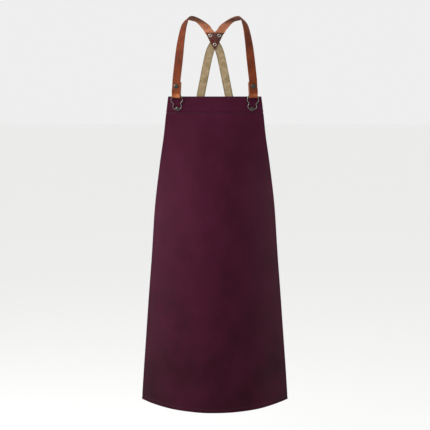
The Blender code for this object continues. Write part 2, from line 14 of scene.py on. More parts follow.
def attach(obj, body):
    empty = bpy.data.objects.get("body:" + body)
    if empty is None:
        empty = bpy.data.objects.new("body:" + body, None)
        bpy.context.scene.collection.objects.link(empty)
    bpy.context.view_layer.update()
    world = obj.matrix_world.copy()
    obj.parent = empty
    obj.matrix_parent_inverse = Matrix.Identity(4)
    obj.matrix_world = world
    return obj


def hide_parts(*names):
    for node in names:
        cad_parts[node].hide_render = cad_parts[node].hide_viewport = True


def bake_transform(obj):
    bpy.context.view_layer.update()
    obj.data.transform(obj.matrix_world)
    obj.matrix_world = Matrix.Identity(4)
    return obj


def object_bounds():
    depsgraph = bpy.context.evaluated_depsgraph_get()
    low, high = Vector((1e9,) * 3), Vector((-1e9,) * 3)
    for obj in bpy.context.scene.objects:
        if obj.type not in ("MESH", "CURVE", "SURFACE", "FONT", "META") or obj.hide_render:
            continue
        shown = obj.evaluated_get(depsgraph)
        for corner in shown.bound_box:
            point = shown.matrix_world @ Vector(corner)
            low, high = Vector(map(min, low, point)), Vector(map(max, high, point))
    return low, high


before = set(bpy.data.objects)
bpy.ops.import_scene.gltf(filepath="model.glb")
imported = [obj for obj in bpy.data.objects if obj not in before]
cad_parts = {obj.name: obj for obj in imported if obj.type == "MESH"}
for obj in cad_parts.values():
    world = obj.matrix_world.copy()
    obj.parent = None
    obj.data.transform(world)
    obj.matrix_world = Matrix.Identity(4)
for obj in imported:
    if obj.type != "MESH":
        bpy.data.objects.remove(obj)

CAD_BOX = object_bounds()
LOG = logging.getLogger("apron")
GAP = 0.0003
Socket = bpy.types.NodeSocket
Station = tuple[Vector, Vector]  # a point on a surface, and the way the surface faces there
Route = tuple[list[Vector], list[Vector]]  # points and facings, in step
Triple = tuple[float, float, float]
Profile = Sequence[tuple[float, float]]


class Side(Enum):
    """Which of a pair, as the viewer sees it; the value is its sign along X."""

    LEFT = -1
    RIGHT = 1

    @property
    def label(self) -> str:
        """The word that starts the names of this side's pieces."""
        return self.name.lower()


# ---- node materials


def linear(hex_colour: str) -> tuple[float, float, float, float]:
    """Turns an sRGB hex colour to linear.

    Args:
        hex_colour: six hex digits.

    Returns:
        The linear colour with an alpha of 1.
    """
    parts = [int(hex_colour[i : i + 2], 16) / 255 for i in (0, 2, 4)]
    red, green, blue = (c / 12.92 if c <= 0.04045 else ((c + 0.055) / 1.055) ** 2.4 for c in parts)
    return red, green, blue, 1.0


@dataclass(frozen=True)
class Graph:
    """A material's nodes, and the few steps that the finishes are made of."""

    material: bpy.types.Material

    @property
    def shader(self) -> bpy.types.Node:
        """The Principled shader."""
        return self.material.node_tree.nodes["Principled BSDF"]

    def add(self, kind: str, inputs: dict | None = None, **settings) -> bpy.types.Node:
        """Adds one node with its settings and links.

        Args:
            kind: the node's type after "ShaderNode".
            inputs: input name or index to a value, or to the output socket to link.
            **settings: the node's own properties.

        Returns:
            The new node.
        """
        tree = self.material.node_tree
        made = tree.nodes.new("ShaderNode" + kind)
        for name, value in settings.items():
            setattr(made, name, value)
        for name, value in (inputs or {}).items():
            if isinstance(value, Socket):
                tree.links.new(value, made.inputs[name])
            else:
                made.inputs[name].default_value = value
        return made

    def link(self, socket: Socket, name: str) -> None:
        """Feeds one of the shader's inputs."""
        self.material.node_tree.links.new(socket, self.shader.inputs[name])

    def calc(self, operation: str, *values: Socket | float) -> Socket:
        """The result of one sum."""
        return self.add("Math", dict(enumerate(values)), operation=operation).outputs[0]

    def noise(self, place: Socket, scale: float, detail: float, roughness: float = 0.5) -> Socket:
        """Noise from 0 to 1, repeating about `scale` times a metre."""
        inputs = {"Vector": place, "Scale": scale, "Detail": detail, "Roughness": roughness}
        return self.add("TexNoise", inputs).outputs["Fac"]

    def remap(self, value: Socket, low: float, high: float, first: float = 0.0, last: float = 1.0) -> Socket:
        """A value's range from low to high, clamped and stretched to first and last."""
        inputs = {"Value": value, "From Min": low, "From Max": high, "To Min": first, "To Max": last}
        return self.add("MapRange", inputs).outputs["Result"]

    def colour(self, factor: Socket, *stops: tuple[float, str]) -> None:
        """Maps a factor through (place, hex colour) stops to the base colour."""
        made = self.add("ValToRGB", {"Fac": factor})
        while len(made.color_ramp.elements) < len(stops):
            made.color_ramp.elements.new(1.0)
        for element, (place, hex_colour) in zip(made.color_ramp.elements, stops):
            element.position, element.color = place, linear(hex_colour)
        self.link(made.outputs["Color"], "Base Color")

    def bump(self, height: Socket, strength: float, distance: float) -> None:
        """Raises the surface by a height."""
        made = self.add("Bump", {"Height": height, "Strength": strength, "Distance": distance})
        self.link(made.outputs["Normal"], "Normal")


@dataclass(frozen=True)
class Finish:
    """What every finish has: a name, and Principled values that are the same all over."""

    name: str
    roughness: float = 0.5
    metallic: float = 0.0

    def build(self) -> bpy.types.Material:
        """The finished material."""
        material = bpy.data.materials.new(self.name)
        material.use_nodes = True
        graph = Graph(material)
        graph.shader.inputs["Roughness"].default_value = self.roughness
        graph.shader.inputs["Metallic"].default_value = self.metallic
        self.dress(graph)
        return material

    def dress(self, graph: Graph) -> None:
        """Adds what is this finish's own."""
        raise NotImplementedError


@dataclass(frozen=True)
class Plain(Finish):
    """One even colour."""

    colour: str = "FBFBFA"

    def dress(self, graph: Graph) -> None:
        """Sets the colour."""
        graph.shader.inputs["Base Color"].default_value = linear(self.colour)


@dataclass(frozen=True)
class CoatedCotton(Finish):
    """Piece-dyed cotton canvas with a soft coating: close weave, faint nap, matt with a pale rim."""

    colour: str = "3B0F22"
    worn: str = "411327"
    deep: str = "350C1E"
    # darkest stop, for the painted shade towards the hem
    shaded: str = "270814"
    shade_fall: tuple[float, float] = (-0.30, -0.95)  # heights from the bib's top between which painted shade darkens it
    thread_mm: float = 1.1  # real threads are 0.5 mm apart; drawn twice as coarse so that they show

    def dress(self, graph: Graph) -> None:
        """Canvas: a plain weave in the bump, a dye that varies slowly, and fibres that catch light."""
        shader = graph.shader.inputs
        shader["Sheen Weight"].default_value = 0.05
        shader["Sheen Roughness"].default_value = 0.4
        shader["Sheen Tint"].default_value = linear("C88FA4")
        shader["Specular IOR Level"].default_value = 0.06
        uv = graph.add("UVMap", uv_map="cloth").outputs["UV"]
        slow, nap = graph.noise(uv, 9.0, 3.0, 0.55), graph.noise(uv, 420.0, 2.0)
        across, up, _ = graph.add("SeparateXYZ", {"Vector": uv}).outputs
        # One sine period holds two threads, so the weave's frequency follows from the thread pitch.
        turns = math.pi / (self.thread_mm / 1000)
        warp, weft = (graph.calc("SINE", graph.calc("MULTIPLY", axis, turns)) for axis in (across, up))
        weave = graph.calc("MULTIPLY", warp, weft)
        dyed = graph.calc("MULTIPLY_ADD", nap, 0.5, slow)
        woven = graph.calc("MULTIPLY_ADD", weave, 0.12, dyed)
        # painted shade: the cloth darkens towards the hem, where less light falls
        tone = graph.calc("MULTIPLY_ADD", graph.remap(up, *self.shade_fall), -0.5, woven)
        graph.colour(tone, (0.1, self.shaded), (0.45, self.deep), (0.75, self.colour), (1.0, self.worn))
        graph.bump(graph.calc("MULTIPLY_ADD", nap, 0.8, weave), 0.18, 0.0004)


@dataclass(frozen=True)
class Leather(Finish):
    """Vegetable-tanned strap leather, by its grain, flesh or cut edge."""

    light: str = "76381B"
    mid: str = "642C13"
    dark: str = "4E200D"
    # darkest stop, for painted shade
    shaded: str = "3A1B0E"
    # palest stop, for the painted highlight at the fold
    highlight_colour: str = "A8673F"
    grain_mm: float = 1.4  # pebble of the grain
    depth_mm: float = 0.12
    fibre: float = 0.0  # share of loose fibre, high on the flesh side
    gloss: float = 0.2
    shade_rise: tuple[float, float] = (1.0, 2.0)  # heights in the frame between which painted shade darkens it
    shade_tone: float = 0.0  # how much darker the painted shade makes it
    polish_and_highlight_rise: tuple[float, float] = (1.0, 2.0)  # heights between which it is polished smoother and paled by a painted highlight
    rub_polish: float = 0.0  # how much smoother it gets
    highlight_tone: float = 0.0  # how much paler the painted highlight makes it

    def dress(self, graph: Graph) -> None:
        """Leather: pebbled grain over slow colour drift, with pores that gather the dye."""
        graph.shader.inputs["Specular IOR Level"].default_value = self.gloss
        place = graph.add("TexCoord").outputs["Object"]
        slow, fuzz = graph.noise(place, 26.0, 5.0, 0.6), graph.noise(place, 900.0, 3.0)
        cells = graph.add("TexVoronoi", {"Vector": place, "Scale": 1000 / self.grain_mm}).outputs["Distance"]
        height = graph.add("SeparateXYZ", {"Vector": place}).outputs["Z"]
        shade_mask, rub = graph.remap(height, *self.shade_rise), graph.remap(height, *self.polish_and_highlight_rise)
        pores = graph.calc("MULTIPLY_ADD", cells, 0.22, slow)
        # painted shade: darker between the shade heights
        shaded_pores = graph.calc("MULTIPLY_ADD", shade_mask, -self.shade_tone, pores)
        # painted highlight: the rub mask also pales the grain at the fold round the clip's bar
        tone = graph.calc("MULTIPLY_ADD", rub, self.highlight_tone, shaded_pores)
        graph.colour(tone, (0.0, self.shaded), (0.38, self.dark), (0.56, self.mid), (0.78, self.light),
                     (1.0, self.highlight_colour))
        rough = graph.remap(slow, 0.3, 0.7, self.roughness - 0.08, self.roughness + 0.1)
        graph.link(graph.calc("MULTIPLY_ADD", rub, -self.rub_polish, rough), "Roughness")
        graph.bump(graph.calc("MULTIPLY_ADD", fuzz, 0.3 + self.fibre, cells), 0.5, self.depth_mm / 1000)


@dataclass(frozen=True)
class Webbing(Finish):
    """Cotton webbing in herringbone, with close darker selvedges."""

    light: str = "B7A381"
    mid: str = "A08B66"
    dark: str = "7C6A49"
    rib_mm: float = 1.6  # real ribs are 1 mm; drawn coarser so that they show
    width: float = 0.025

    def dress(self, graph: Graph) -> None:
        """Webbing: slanted ribs that reverse at the middle, and dirt kept by the selvedges."""
        graph.shader.inputs["Sheen Weight"].default_value = 0.15
        uv = graph.add("UVMap", uv_map="strap").outputs["UV"]
        side, along, _ = graph.add("SeparateXYZ", {"Vector": uv}).outputs
        across = graph.calc("ABSOLUTE", side)
        turns = 2 * math.pi / (self.rib_mm / 1000)
        rib = graph.calc("SINE", graph.calc("MULTIPLY", graph.calc("ADD", across, along), turns))
        fuzz, slow = graph.noise(uv, 1100.0, 2.0), graph.noise(uv, 60.0, 2.0)
        ribbed = graph.calc("MULTIPLY_ADD", rib, 0.16, slow)
        edge = graph.remap(across, self.width * 0.36, self.width * 0.47, 0.0, 0.34)
        tone = graph.calc("SUBTRACT", ribbed, edge)
        graph.colour(tone, (0.12, self.dark), (0.46, self.mid), (0.72, self.light))
        graph.bump(graph.calc("MULTIPLY_ADD", fuzz, 0.9, rib), 0.6, 0.0003)


@dataclass(frozen=True)
class Plated(Finish):
    """Plated steel: bright nickel or dark gunmetal, dulled by handling."""

    colour: str = "BDB9B0"
    dull: str = "8F8B84"
    metallic: float = 1.0

    def dress(self, graph: Graph) -> None:
        """Plating: an even metal with duller patches and hair-fine rubbing marks."""
        place = graph.add("TexCoord").outputs["Object"]
        patch = graph.noise(place, 300.0, 4.0)
        graph.colour(patch, (0.35, self.dull), (0.62, self.colour))
        graph.link(graph.remap(patch, 0.0, 1.0, self.roughness + 0.12, self.roughness - 0.08), "Roughness")
        rub = graph.add("Mapping", {"Vector": place, "Scale": (4000.0, 4000.0, 250.0)}).outputs["Vector"]
        graph.bump(graph.noise(rub, 1.0, 1.0), 0.06, 0.0001)


@dataclass(frozen=True)
class SewingThread(Finish):
    """Bonded polyester thread, twisted, with a slight gloss."""

    colour: str = "2A0C17"
    dark: str = "14050B"

    def dress(self, graph: Graph) -> None:
        """Thread: a tight twist seen as fine light and dark along it."""
        place = graph.add("TexCoord").outputs["Object"]
        graph.colour(graph.noise(place, 2200.0, 1.0), (0.4, self.dark), (0.6, self.colour))


@dataclass
class Finishes:
    """Every material of the apron, built once."""

    def __post_init__(self) -> None:
        """Builds the materials."""
        self.canvas = CoatedCotton("coated_cotton", 0.72).build()
        # The grain gets painted shade towards the shoulder's crest, and a painted highlight where it turns
        # round the clip's bar.
        self.grain = Leather("tan_leather_grain", 0.58, gloss=0.12, shade_rise=(-0.16, -0.03), shade_tone=0.12,
                             polish_and_highlight_rise=(-0.226, -0.233), rub_polish=0.3, highlight_tone=0.24).build()
        # The flesh side gets painted shade at the shoulder's crest.
        self.flesh = Leather("tan_leather_flesh", 0.82, light="C68466", mid="B57456", dark="9C6145",
                             shaded="3E2216", highlight_colour="CC8C70", depth_mm=0.2, fibre=1.2,
                             shade_rise=(-0.016, -0.004), shade_tone=0.55).build()
        self.edge = Leather("tan_leather_edge", 0.5, light="6E3A24", mid="56291A", dark="3E1C12",
                            fibre=0.6).build()
        self.patch = Leather("dark_brown_leather", 0.38, light="6A2D1C", mid="522014", dark="3A150E",
                             gloss=0.5).build()
        self.webbing = Webbing("cotton_webbing", 0.85).build()
        self.nickel = Plated("nickel_plate", 0.30).build()
        self.wire = Plated("nickel_spring_wire", 0.26, colour="85837D", dull="55534E").build()
        self.gunmetal = Plated("gunmetal_plate", 0.24, colour="514F4A", dull="2D2B28").build()
        # A very dark metal that paints the shade inside the rivets' tubes.
        self.bore_shade = Plated("painted_bore_shade", 0.6, colour="24221F", dull="141311").build()
        self.thread = SewingThread("burgundy_thread", 0.55).build()


# ---- the shape of the wearer and the cloth


@dataclass(frozen=True)
class BodyForm:
    """The apron as it hangs on a body, measured from the middle of the bib's top edge, in metres."""

    crest_behind_bib: float = 0.1194
    crest_above_bib: float = 0.2386
    hem_drop: float = 0.970
    heights: tuple[float, ...] = (0.0, -0.05, -0.12, -0.20, -0.30, -0.38, -0.55, -0.75, -0.97)
    across: tuple[float, ...] = (0.1406, 0.1470, 0.1556, 0.1697, 0.1845, 0.1930, 0.2050, 0.2203, 0.2355)
    behind: tuple[float, ...] = (0.024, 0.026, 0.050, 0.105, 0.165, 0.185, 0.185, 0.180, 0.172)
    wrap_power: float = 2.2

    def point(self, x: float, y: float, z: float) -> Vector:
        """A point given from the bib's datum, in the frame of the origin."""
        return Vector((x, y - self.crest_behind_bib, z - self.crest_above_bib))

    def through(self, values: Sequence[float], at: float) -> float:
        """Reads a smooth curve through values at this form's falling heights.

        Args:
            values: one value for each height.
            at: the height to read.

        Returns:
            The value there.
        """
        keys = self.heights
        i = max(k for k in range(len(keys) - 1) if at <= keys[k] or k == 0)
        span = keys[i + 1] - keys[i]
        t = (at - keys[i]) / span
        ends = [max(i - 1, 0), i, i + 1, min(i + 2, len(keys) - 1)]
        m = (values[ends[2]] - values[ends[0]]) / (keys[ends[2]] - keys[ends[0]]) * span
        n = (values[ends[3]] - values[ends[1]]) / (keys[ends[3]] - keys[ends[1]]) * span
        p, q = values[i], values[i + 1]
        return (p * (2 * t**3 - 3 * t**2 + 1) + m * (t**3 - 2 * t**2 + t)
                + q * (3 * t**2 - 2 * t**3) + n * (t**3 - t**2))

    def half_width(self, z: float) -> float:
        """Half the apron's width across the front at a height."""
        return self.through(self.across, z)

    def front(self, x: float, z: float) -> Vector:
        """The cloth's front surface at a place across and a height."""
        depth = self.through(self.behind, z) * (abs(x) / self.half_width(z)) ** self.wrap_power
        return self.point(x, depth, z)

    def outward(self, x: float, z: float) -> Vector:
        """The direction that the cloth's front faces."""
        step = 0.001
        low = min(z, -step)
        along = self.front(x + step, z) - self.front(x - step, z)
        up = self.front(x, low + step) - self.front(x, low - step)
        return along.cross(up).normalized()

    def flat_half_width(self, z: float, steps: int = 40) -> float:
        """Half the cloth's width at a height when laid flat: the length of its curve."""
        half = self.half_width(z)
        spots = [self.front(half * k / steps, z) for k in range(steps + 1)]
        return sum((b - a).length for a, b in zip(spots, spots[1:]))


FORM = BodyForm()


def smooth_path(points: Sequence[Vector], per_span: int) -> list[Vector]:
    """Points along a Catmull-Rom curve.

    Args:
        points: the points that it passes through.
        per_span: how many to make between each two.

    Returns:
        The points, first and last included.
    """
    ends = [2 * points[0] - points[1], *points, 2 * points[-1] - points[-2]]
    found = []
    for i in range(1, len(ends) - 2):
        p, q, r, s = ends[i - 1 : i + 3]
        for step in range(per_span):
            t = step / per_span
            found.append(0.5 * (2 * q + (r - p) * t + (2 * p - 5 * q + 4 * r - s) * t * t
                                + (3 * q - p - 3 * r + s) * t**3))
    return [*found, points[-1].copy()]


def mirrored_route(sign: int, *rows: tuple[Triple, Triple]) -> Route:
    """One side's points and facings, from rows of both in the bib's datum for +X."""
    spots = [FORM.point(sign * x, y, z) for (x, y, z), _ in rows]
    return spots, [Vector((sign * a, b, c)) for _, (a, b, c) in rows]


def frame_matrix(origin: Vector, y_axis: Vector, z_axis: Vector) -> Matrix:
    """A frame at a point, with +Z kept and +Y turned square to it."""
    up = z_axis.normalized()
    x_axis = y_axis.cross(up).normalized()
    turn = Matrix((x_axis, up.cross(x_axis), up)).transposed().to_4x4()
    return Matrix.Translation(origin) @ turn


def carried(place: Matrix, spot: Vector, way: Vector) -> Station:
    """A point and a direction, taken out of a frame."""
    return place @ spot, place.to_3x3() @ way


# ---- making pieces


def place_object(name: str, data: bpy.types.ID) -> bpy.types.Object:
    """Puts a mesh, light or camera in the scene."""
    obj = bpy.data.objects.new(name, data)
    bpy.context.scene.collection.objects.link(obj)
    return obj


def add_piece(name: str, bm: bmesh.types.BMesh, materials: Sequence[bpy.types.Material], body: str,
              node: str | None = None, sharp_deg: float = 35.0) -> bpy.types.Object:
    """Makes the bmesh an object in the frame's space, riding on a body.

    Args:
        name: the piece's name.
        bm: the mesh, in place; freed here.
        materials: the piece's materials in slot order.
        body: the CAD body that it rides on, or an empty string for none.
        node: the CAD node that it stands for.
        sharp_deg: edges sharper than this stay crisp.

    Returns:
        The object.
    """
    mesh = bpy.data.meshes.new(name)
    bm.to_mesh(mesh)
    bm.free()
    mesh.shade_smooth()
    mesh.set_sharp_from_angle(angle=math.radians(sharp_deg))
    for material in materials:
        mesh.materials.append(material)
    obj = place_object(name, mesh)
    if body:
        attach(obj, body)
    if node:
        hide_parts(node)
    LOG.info("%s: %d faces on %s", name, len(mesh.polygons), body or "a blend")
    return obj


def shaped_grid(columns: int, rows: int, place: Callable[[float, float], Vector],
                flat: Callable[[float, float], tuple[float, float]], uv_name: str) -> bmesh.types.BMesh:
    """A grid bent into a surface, with its flat pattern as the UV map.

    Args:
        columns: quads across.
        rows: quads along.
        place: from (across, along), each 0 to 1, to the point in space.
        flat: from (across, along) to the point on the flat pattern, in metres.
        uv_name: the UV map's name.

    Returns:
        The new bmesh.
    """
    bm = bmesh.new()
    bmesh.ops.create_grid(bm, x_segments=columns, y_segments=rows, size=1)
    layer = bm.loops.layers.uv.new(uv_name)
    for face in bm.faces:
        for loop in face.loops:
            co = loop.vert.co
            loop[layer].uv = flat((co.x + 1) / 2, (co.y + 1) / 2)
    for vert in bm.verts:
        vert.co = place((vert.co.x + 1) / 2, (vert.co.y + 1) / 2)
    bm.normal_update()
    return bm


def face_towards(bm: bmesh.types.BMesh, direction: Vector) -> None:
    """Turns an open surface round if its first face looks away from a direction."""
    bm.normal_update()
    bm.faces.ensure_lookup_table()
    if bm.faces[0].normal.dot(direction) < 0:
        bmesh.ops.reverse_faces(bm, faces=bm.faces)
    bm.normal_update()


def cut_away(bm: bmesh.types.BMesh, spot: Vector, away: Vector) -> None:
    """Removes what lies beyond a plane."""
    bmesh.ops.bisect_plane(bm, geom=[*bm.verts, *bm.edges, *bm.faces], plane_co=spot, plane_no=away,
                           clear_outer=True)


def thicken(obj: bpy.types.Object, thickness: float, offset: float, materials: tuple[int, int] = (0, 0),
            round_edge: float = 0.0) -> None:
    """Gives an open surface its thickness, and rounds the cut edges.

    Args:
        obj: the piece.
        thickness: in metres.
        offset: -1 grows behind the surface, 0 to both sides.
        materials: material slots of the back and the rim, counted from the front's.
        round_edge: radius of the cut edges.
    """
    solid = obj.modifiers.new("thickness", "SOLIDIFY")
    solid.thickness, solid.offset, solid.use_even_offset = thickness, offset, True
    solid.material_offset, solid.material_offset_rim = materials
    if round_edge:
        bevel = obj.modifiers.new("rounded edges", "BEVEL")
        bevel.width, bevel.segments, bevel.limit_method = round_edge, 3, "ANGLE"
        bevel.angle_limit = math.radians(50)


def ribbon_surface(stations: Sequence[Station], width: float, columns: int = 4,
                   point_end: float = 0.0) -> bmesh.types.BMesh:
    """The middle surface of a strap along (centre, facing) stations.

    Args:
        stations: where the strap passes and which way its outer face looks.
        width: the strap's width.
        columns: quads across.
        point_end: how far the first end's corners are cut back, for a rounded tip.

    Returns:
        The bmesh, with a UV map "strap" in metres: across from the middle, and along.
    """
    centres = [centre for centre, _ in stations]
    lengths = [0.0]
    for a, b in zip(centres, centres[1:]):
        lengths.append(lengths[-1] + (b - a).length)
    rings = []
    for i, (centre, facing) in enumerate(stations):
        along = (centres[min(i + 1, len(centres) - 1)] - centres[max(i - 1, 0)]).normalized()
        out = (facing - facing.dot(along) * along).normalized()
        rings.append((centre, out.cross(along), along))

    def place(u: float, v: float) -> Vector:
        k = round(v * (len(stations) - 1))
        centre, side, along = rings[k]
        shift = 2 * u - 1
        cut = point_end * shift**2 * max(0.0, 1 - lengths[k] / (2 * point_end)) if point_end else 0.0
        return centre + side * (shift * width / 2) + along * cut

    def flat(u: float, v: float) -> tuple[float, float]:
        return (u - 0.5) * width, lengths[round(v * (len(stations) - 1))]

    bm = shaped_grid(columns, len(stations) - 1, place, flat, "strap")
    face_towards(bm, stations[0][1])
    return bm


def tenths(base: float, *points: tuple[float, float]) -> list[tuple[float, float]]:
    """Points in tenths of a millimetre, the second number counted from a base in metres."""
    return [(a * 1e-4, base + b * 1e-4) for a, b in points]


def turned(profile: Profile, place: Matrix, steps: int = 40) -> bmesh.types.BMesh:
    """A closed outline of (radius, along Y) points turned about a frame's Y axis."""
    bm = bmesh.new()
    corners = [bm.verts.new((radius, along, 0)) for radius, along in profile]
    pairs = zip(corners, corners[1:] + corners[:1])
    edges = [bm.edges.new(pair) for pair in pairs if pair[0].co.x > 0 or pair[1].co.x > 0]
    bmesh.ops.spin(bm, geom=corners + edges, cent=(0, 0, 0), axis=(0, 1, 0), angle=2 * math.pi,
                   steps=steps, use_merge=True)
    bmesh.ops.remove_doubles(bm, verts=bm.verts, dist=1e-6)
    bmesh.ops.recalc_face_normals(bm, faces=bm.faces)
    bmesh.ops.transform(bm, matrix=place, verts=bm.verts)
    return bm


def swept_wire(outline: Profile, radius: float, place: Matrix, sides: int = 14) -> bmesh.types.BMesh:
    """Round wire bent along a closed outline in a frame's XZ plane, bridged ring by ring."""
    bm = bmesh.new()
    spots = [Vector((x, 0, z)) for x, z in outline]
    loops = []
    for i, spot in enumerate(spots):
        along = (spots[(i + 1) % len(spots)] - spots[i - 1]).normalized()
        turn = along.to_track_quat("Z", "Y").to_matrix().to_4x4()
        made = bmesh.ops.create_circle(bm, segments=sides, radius=radius,
                                       matrix=place @ Matrix.Translation(spot) @ turn)
        loops.append(list({edge for vert in made["verts"] for edge in vert.link_edges}))
    for first, second in zip(loops, loops[1:] + loops[:1]):
        bmesh.ops.bridge_loops(bm, edges=first + second)
    bmesh.ops.recalc_face_normals(bm, faces=bm.faces)
    return bm


@dataclass(frozen=True)
class StitchRun:
    """A row of lockstitches lying on a surface."""

    pitch: float = 0.0038
    length: float = 0.0029
    radius: float = 0.00038
    proud: float = 0.35  # how far the thread's middle stands off the surface, as a share of its radius
    batch: int = 30  # stitches made at a time, because each costs more the larger its mesh

    def sew(self, bm: bmesh.types.BMesh, path: Sequence[Station]) -> None:
        """Adds the row to a bmesh.

        Args:
            bm: the mesh that gathers the stitches.
            path: points on the surface with the surface's facing.
        """
        total, marks = 0.0, [0.0]
        for (a, _), (b, _) in zip(path, path[1:]):
            total += (b - a).length
            marks.append(total)
        count = int(total / self.pitch)
        k, batch, carrier = 0, bmesh.new(), bpy.data.meshes.new("stitches")
        for stitch in range(count):
            at = (stitch + 0.5) * total / count
            while marks[k + 1] < at:
                k += 1
            (a, face_a), (b, face_b) = path[k], path[k + 1]
            t = (at - marks[k]) / (marks[k + 1] - marks[k])
            out = face_a.lerp(face_b, t).normalized()
            spot = frame_matrix(a.lerp(b, t) + out * self.radius * self.proud, out, b - a)
            size = Matrix.Diagonal((self.radius, self.radius, self.length / 2, 1))
            bmesh.ops.create_uvsphere(batch, u_segments=6, v_segments=4, radius=1, matrix=spot @ size)
            if stitch % self.batch == self.batch - 1 or stitch == count - 1:
                batch.to_mesh(carrier)
                bm.from_mesh(carrier)
                batch.clear()
        batch.free()
        bpy.data.meshes.remove(carrier)


# ---- the cloth


@dataclass
class ApronCloth:
    """The burgundy panel, its turned hems and facing, and the rows of stitching that hold them."""

    finishes: Finishes
    thickness: float = 0.0010
    columns: int = 128
    side_hem: float = 0.012
    bottom_hem: float = 0.011
    facing_drop: float = 0.050
    seam_up: float = 0.0015  # from the facing's free edge up to its seam
    ripple: float = 0.0012  # how far the cloth strays from an even wrap at the hem
    layer_gap: float = 0.0002  # between the panel and what is turned or laid behind it
    row_in: float = 0.85  # where a side hem's row of stitching runs, as a share of the hem
    row_end: float = 0.003  # from a row's end to the side edge
    top_row: float = 0.0035  # from the top edge to its row

    def heights(self) -> list[float]:
        """Row heights from the top edge down, close together at the seams."""
        seam, hem = -self.facing_drop + self.seam_up, -FORM.hem_drop + self.bottom_hem
        found = [0.0, -0.0006, -0.002, -0.006, -0.014, -0.024, -0.034, -0.042]
        found += [seam + d for d in (0.0048, 0.0036, 0.0026, 0.0018, 0.0010, 0.0004)]
        found += [seam - d for d in (0.0004, 0.0010, 0.0018, 0.0026, 0.0036, 0.005)]
        upper, lower, steps = found[-1], hem + 0.006, 120
        found += [upper + (lower - upper) * k / steps for k in range(1, steps + 1)]
        found += [hem + 0.003, hem + 0.0012, hem]
        return found + [hem - d for d in (0.0012, 0.0025, 0.004, 0.006, 0.008, 0.0102, 0.011)]

    def ripples(self, x: float, z: float) -> float:
        """How far the cloth stands proud of an even wrap: slow, soft and fuller towards the hem."""
        share = x / FORM.half_width(z)
        drop = -z / FORM.hem_drop
        fold = math.sin(9.5 * share + 0.7 + 1.3 * drop) + 0.5 * math.sin(17.0 * share - 2.1 * drop)
        slack = math.sin(23.0 * z + 3.0 * share) * 0.35
        return self.ripple * (drop**1.5 * fold * 0.7 + slack * min(1.0, 4 * drop) * (1 - 0.5 * drop))

    def seam_dips(self, x: float, z: float) -> float:
        """How far stitching pulls the front in along the facing's seam and the hems."""
        half = FORM.half_width(z)
        seams = (
            (z + self.facing_drop - self.seam_up, 0.0019, 0.0022),
            (z + FORM.hem_drop - self.bottom_hem, 0.0008, 0.0016),
            (half - abs(x) - self.side_hem * self.row_in, 0.0006, 0.0016),
        )
        return sum(depth * math.exp(-((gap / width) ** 2)) for gap, depth, width in seams)

    def surface(self, x: float, z: float) -> Vector:
        """The finished front at a place across and a height."""
        lift = self.ripples(x, z) - self.seam_dips(x, z)
        return FORM.front(x, z) + FORM.outward(x, z) * lift

    def across_share(self, u: float) -> float:
        """Spreads the columns, closer together at the side hems."""
        s = 2 * u - 1
        return math.copysign(1 - (1 - abs(s)) ** 1.25, s)

    def patch(self, name: str, xs: Callable[[float, float], float], heights: Sequence[float], columns: int,
              behind: float, lump: float = 0.0) -> bpy.types.Object:
        """A piece of the cloth over a stretch of the front.

        Args:
            name: the piece's name.
            xs: from (across 0 to 1, height) to the place across.
            heights: row heights from the top down.
            columns: quads across.
            behind: how far its face lies behind the front's.
            lump: how unevenly it lies.

        Returns:
            The object, with its thickness grown towards the wearer.
        """
        rows = len(heights) - 1

        def place(u: float, v: float) -> Vector:
            z = heights[round((1 - v) * rows)]
            x = xs(u, z)
            uneven = lump * math.sin(310 * x + 170 * z)
            return self.surface(x, z) - FORM.outward(x, z) * (behind + uneven)

        def flat(u: float, v: float) -> tuple[float, float]:
            z = heights[round((1 - v) * rows)]
            share = xs(u, z) / FORM.half_width(z)
            return share * flats[round((1 - v) * rows)], z

        flats = [FORM.flat_half_width(z) for z in heights]
        bm = shaped_grid(columns, rows, place, flat, "cloth")
        face_towards(bm, Vector((0, -1, 0)))
        obj = add_piece(name, bm, [self.finishes.canvas], "apron")
        thicken(obj, self.thickness, -1)
        return obj

    def inside(self, inset: float) -> Callable[[float, float], float]:
        """Places spread evenly from side to side, short of the panel's edges."""
        return lambda u, z: (2 * u - 1) * (FORM.half_width(z) - inset)

    def turned_edges(self) -> list[bpy.types.Object]:
        """The side and bottom hems, turned once more to the wearer's side."""
        behind, inset, lump = self.thickness + self.layer_gap, 0.0004, 0.00012
        low, top = -FORM.hem_drop, -self.facing_drop
        rows = [top + (low + self.bottom_hem - top) * k / 90 for k in range(91)]
        made = []
        for side in Side:
            def xs(u: float, z: float, sign: int = side.value) -> float:
                return sign * (FORM.half_width(z) - inset - u * self.side_hem)
            made.append(self.patch(f"{side.label}_side_hem", xs, rows, 3, behind, lump))
        band = [low + self.bottom_hem * (1 - k / 6) for k in range(7)]
        made.append(self.patch("bottom_hem", self.inside(inset), band, self.columns, behind, lump))
        return made

    def stitching(self) -> bpy.types.Object:
        """Every visible row: facing, top edge, side hems and bottom hem, front and back of the work."""
        run, bm = StitchRun(), bmesh.new()

        def station(x: float, z: float) -> Station:
            return self.surface(x, z), FORM.outward(x, z)

        def row(z: float, steps: int = 150) -> list[Station]:
            half = FORM.half_width(z) - self.row_end
            return [station(half * (2 * k / steps - 1), z) for k in range(steps + 1)]

        def edge(side: Side, steps: int = 220) -> list[Station]:
            margin = 0.004
            zs = [-margin - (FORM.hem_drop - 2 * margin) * k / steps for k in range(steps + 1)]
            row_in = self.side_hem * self.row_in
            return [station(side.value * (FORM.half_width(z) - row_in), z) for z in zs]

